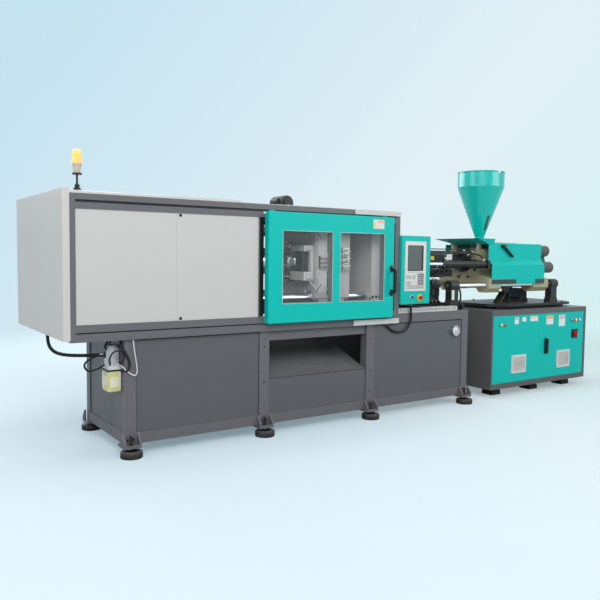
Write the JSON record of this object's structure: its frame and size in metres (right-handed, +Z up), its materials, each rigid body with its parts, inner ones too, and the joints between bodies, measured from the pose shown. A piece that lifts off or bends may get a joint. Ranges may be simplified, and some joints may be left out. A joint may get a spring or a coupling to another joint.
{
  "type": "injection moulding machine",
  "caption": "Horizontal plastics moulding machine: guarded clamp with sliding safety door on a bed, injection unit with cone hopper above a two-door cabinet.",
  "frame": {"origin": "on the floor, under the middle of the machine's outline", "axes": "+X along the machine from the clamp end to the injection end, -Y towards the operator, +Z up"},
  "size_m": [5.731, 1.609, 2.308],
  "materials": {
    "bed_paint": "satin enamel",
    "frame_paint": "satin enamel",
    "panel_paint": "fine satin enamel",
    "cream_paint": "satin enamel",
    "teal_paint": "gloss enamel",
    "cabinet_paint": "satin enamel",
    "casting_paint": "painted casting",
    "black_paint": "satin black",
    "dark_casting": "painted casting",
    "chromed": "hard chromed and ground",
    "bright_steel": "machined",
    "black_plastic": "moulded",
    "white_plastic": "moulded",
    "red_plastic": "moulded",
    "yellow_plastic": "moulded",
    "blue_plastic": "moulded",
    "window": "clear",
    "amber_lens": "clear",
    "tank_plastic": "translucent",
    "cable_rubber": "smooth",
    "pad_rubber": "moulded",
    "gauge_steel": "plain"
  },
  "bodies": {
    "machine": {"bed_frame": "bed_paint", "bed_panels": "bed_paint", "levelling_feet": "bright_steel", "pressure_gauge": "gauge_steel", "wiring_duct": "panel_paint", "guard_frame": "frame_paint", "guard_panels": "panel_paint", "guard_trim": "cream_paint", "guard_end_cover": "cream_paint", "signal_lamp_stem": "black_plastic", "signal_lamp_lens": "amber_lens", "roof_motor": "dark_casting", "operator_panel_box": "teal_paint", "operator_panel_bezel": "white_plastic", "panel_switch_rings": "yellow_plastic", "operator_panel_cable": "cable_rubber", "end_conduit": "cable_rubber", "lube_motor": "panel_paint", "lube_tank": "tank_plastic", "fixed_platen": "casting_paint", "tail_platen": "casting_paint", "tie_bars": "chromed", "tie_nuts": "dark_casting", "seat_rods": "chromed", "cabinet_body": "cabinet_paint", "cabinet_equipment": "black_paint", "wedge_mounts": "pad_rubber", "injection_base": "black_paint", "rod_stands": "dark_casting", "guide_rods": "chromed"},
    "front_door": {"front_door_panel": "teal_paint", "front_door_windows": "window", "front_door_handle": "black_plastic"},
    "rear_door": {"rear_door_panel": "teal_paint", "rear_door_windows": "window"},
    "clamp": {"moving_platen": "casting_paint", "clamp_ram": "chromed", "water_manifold": "bright_steel"},
    "ejector": {"ejector_rod": "bright_steel"},
    "selector": {"selector_knob": "blue_plastic"},
    "stop": {"stop_button": "red_plastic"},
    "left_cabinet_door": {"cabinet_door_left": "teal_paint", "left_door_fittings": "white_plastic"},
    "right_cabinet_door": {"cabinet_door_right": "teal_paint", "right_door_fittings": "white_plastic"},
    "latch": {"latch_handle": "black_plastic"},
    "main_switch": {"main_switch_knob": "red_plastic"},
    "carriage": {"injection_housing": "casting_paint", "barrel": "bright_steel", "nozzle": "bright_steel", "heater_bands": "bright_steel", "barrel_hood": "black_paint", "carriage_cylinders": "black_paint", "injection_cover": "teal_paint", "hopper_tray": "teal_paint", "hopper": "teal_paint"},
    "plasticizing": {"drive_housing": "casting_paint", "screw_motor": "dark_casting"},
    "screw_shaft": {"screw": "bright_steel"},
    "lid": {"hopper_lid": "teal_paint"}
  },
  "joints": [
    {"name": "front_door_slide", "type": "slide", "parent": "machine", "child": "front_door", "axis": [-1, 0, 0], "range_m": [0, 1.2]},
    {"name": "rear_door_slide", "type": "slide", "parent": "machine", "child": "rear_door", "axis": [-1, 0, 0], "range_m": [0, 1.2]},
    {"name": "clamp_slide", "type": "slide", "parent": "machine", "child": "clamp", "axis": [1, 0, 0], "range_m": [-0.49, 0.1]},
    {"name": "ejector_slide", "type": "slide", "parent": "clamp", "child": "ejector", "axis": [1, 0, 0], "range_m": [0, 0.1]},
    {"name": "selector_turn", "type": "hinge", "parent": "machine", "child": "selector", "pos_m": [0.1655, -0.7195, 1.052], "axis": [0, 1, 0], "range_deg": [-45, 45]},
    {"name": "stop_press", "type": "slide", "parent": "machine", "child": "stop", "axis": [0, 1, 0], "range_m": [0, 0.006]},
    {"name": "left_cabinet_door_hinge", "type": "hinge", "parent": "machine", "child": "left_cabinet_door", "pos_m": [1.3265, -0.6745, 0.48], "axis": [0, 0, -1], "range_deg": [0, 95]},
    {"name": "right_cabinet_door_hinge", "type": "hinge", "parent": "machine", "child": "right_cabinet_door", "pos_m": [2.8175, -0.6745, 0.48], "axis": [0, 0, 1], "range_deg": [0, 95]},
    {"name": "latch_turn", "type": "hinge", "parent": "right_cabinet_door", "child": "latch", "pos_m": [2.1495, -0.6995, 0.533], "axis": [0, -1, 0], "range_deg": [0, 90]},
    {"name": "main_switch_turn", "type": "hinge", "parent": "right_cabinet_door", "child": "main_switch", "pos_m": [2.6595, -0.6995, 0.585], "axis": [0, -1, 0], "range_deg": [0, 90]},
    {"name": "carriage_slide", "type": "slide", "parent": "machine", "child": "carriage", "axis": [1, 0, 0], "range_m": [-0.25, 0]},
    {"name": "injection_slide", "type": "slide", "parent": "carriage", "child": "plasticizing", "axis": [1, 0, 0], "range_m": [-0.24, 0]},
    {"name": "screw_spin", "type": "hinge", "parent": "plasticizing", "child": "screw_shaft", "pos_m": [2.1795, -0.2375, 1.36], "axis": [1, 0, 0], "continuous": true},
    {"name": "hopper_lid_hinge", "type": "hinge", "parent": "carriage", "child": "lid", "pos_m": [1.5795, 0.0165, 2.302], "axis": [-1, 0, 0], "range_deg": [0, 100]}
  ]
}
